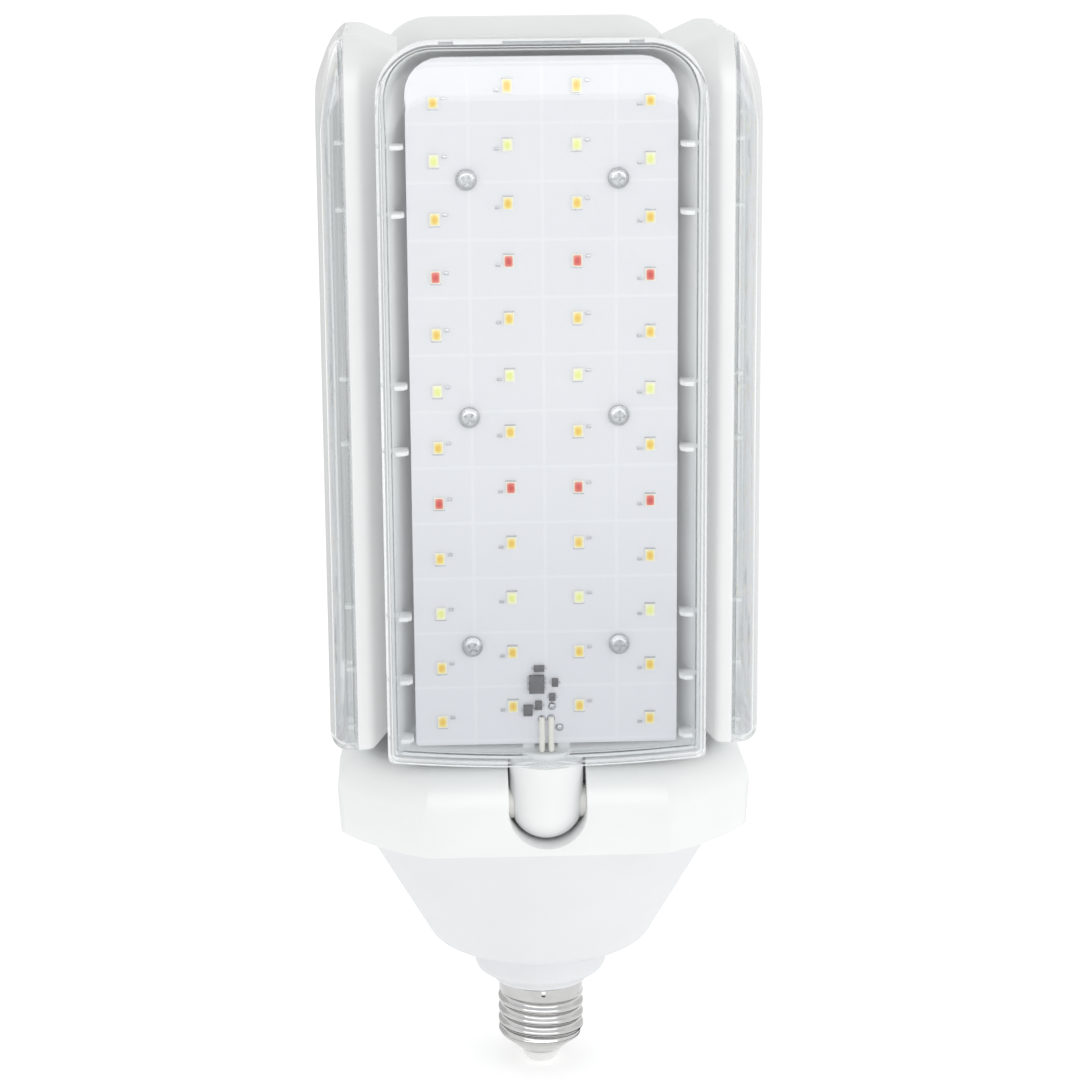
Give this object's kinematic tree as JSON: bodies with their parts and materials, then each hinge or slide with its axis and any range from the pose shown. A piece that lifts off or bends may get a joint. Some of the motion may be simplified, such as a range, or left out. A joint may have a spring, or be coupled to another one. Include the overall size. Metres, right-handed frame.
{
  "type": "folding panel garage light",
  "caption": "Screw-in garage light: a cone-shaped hub on a screw cap carries hinged LED panels with clear covers that fold up round the axis or swing outwards.",
  "frame": {"origin": "on the lamp's axis at the upper rim of the screw shell, where the cap meets the housing", "axes": "+Z from the cap along the lamp's axis to the folded panels; -Y is the front panel's face, +X the right panel's"},
  "size_m": [0.123, 0.123, 0.3162],
  "materials": {
    "white_plastic": "satin moulded white plastic",
    "cone_plastic": "fine matt moulded white plastic",
    "clear_plastic": "clear moulded polycarbonate, polished",
    "board_white": "white solder mask over an aluminium board",
    "led_white": "phosphor behind clear silicone",
    "led_red": "red lamp behind clear silicone",
    "steel": "zinc plated",
    "cap_metal": "bright nickel plated",
    "insulator": "opal white",
    "brass": "plain",
    "nylon": "natural nylon washer",
    "board_green": "green solder mask",
    "resistor": "cement coated",
    "chip_black": "moulded black epoxy",
    "wire_red": "insulated wire",
    "wire_blue": "insulated wire",
    "wire_white": "insulated wire"
  },
  "bodies": {
    "hub": {"screw_shell": "cap_metal", "cap_insulator": "insulator", "centre_contact": "brass", "cone_housing": "cone_plastic", "lower_collar": "white_plastic", "upper_collar": "white_plastic", "collar_screws": "steel", "hinge_pins": "steel", "friction_washers": "nylon", "junction_board": "board_green", "fuse_resistor": "resistor", "terminal_block": "insulator", "live_wire": "wire_red", "neutral_wire": "wire_blue", "hub_leads": "wire_white"},
    "front_panel": {"front_shell": "white_plastic", "front_clear_cover": "clear_plastic", "front_light_board": "board_white", "front_white_leds": "led_white", "front_red_leds": "led_red", "front_board_screws": "steel", "front_driver_chips": "chip_black", "front_hinge_arm": "white_plastic", "front_arm_screws": "steel", "front_leads": "wire_white"},
    "right_panel": {"right_shell": "white_plastic", "right_clear_cover": "clear_plastic", "right_light_board": "board_white", "right_white_leds": "led_white", "right_red_leds": "led_red", "right_board_screws": "steel", "right_driver_chips": "chip_black", "right_hinge_arm": "white_plastic", "right_arm_screws": "steel", "right_leads": "wire_white"},
    "back_panel": {"back_shell": "white_plastic", "back_clear_cover": "clear_plastic", "back_light_board": "board_white", "back_white_leds": "led_white", "back_red_leds": "led_red", "back_board_screws": "steel", "back_driver_chips": "chip_black", "back_hinge_arm": "white_plastic", "back_arm_screws": "steel", "back_leads": "wire_white"},
    "left_panel": {"left_shell": "white_plastic", "left_clear_cover": "clear_plastic", "left_light_board": "board_white", "left_white_leds": "led_white", "left_red_leds": "led_red", "left_board_screws": "steel", "left_driver_chips": "chip_black", "left_hinge_arm": "white_plastic", "left_arm_screws": "steel", "left_leads": "wire_white"}
  },
  "joints": [
    {"name": "front_hinge", "type": "hinge", "parent": "hub", "child": "front_panel", "pos_m": [0, -0.049, 0.0725], "axis": [1, 0, 0], "range_deg": [0, 90]},
    {"name": "right_hinge", "type": "hinge", "parent": "hub", "child": "right_panel", "pos_m": [0.049, 0, 0.0725], "axis": [0, 1, 0], "range_deg": [0, 90]},
    {"name": "back_hinge", "type": "hinge", "parent": "hub", "child": "back_panel", "pos_m": [0, 0.049, 0.0725], "axis": [-1, 0, 0], "range_deg": [0, 90]},
    {"name": "left_hinge", "type": "hinge", "parent": "hub", "child": "left_panel", "pos_m": [-0.049, 0, 0.0725], "axis": [0, -1, 0], "range_deg": [0, 90]}
  ]
}
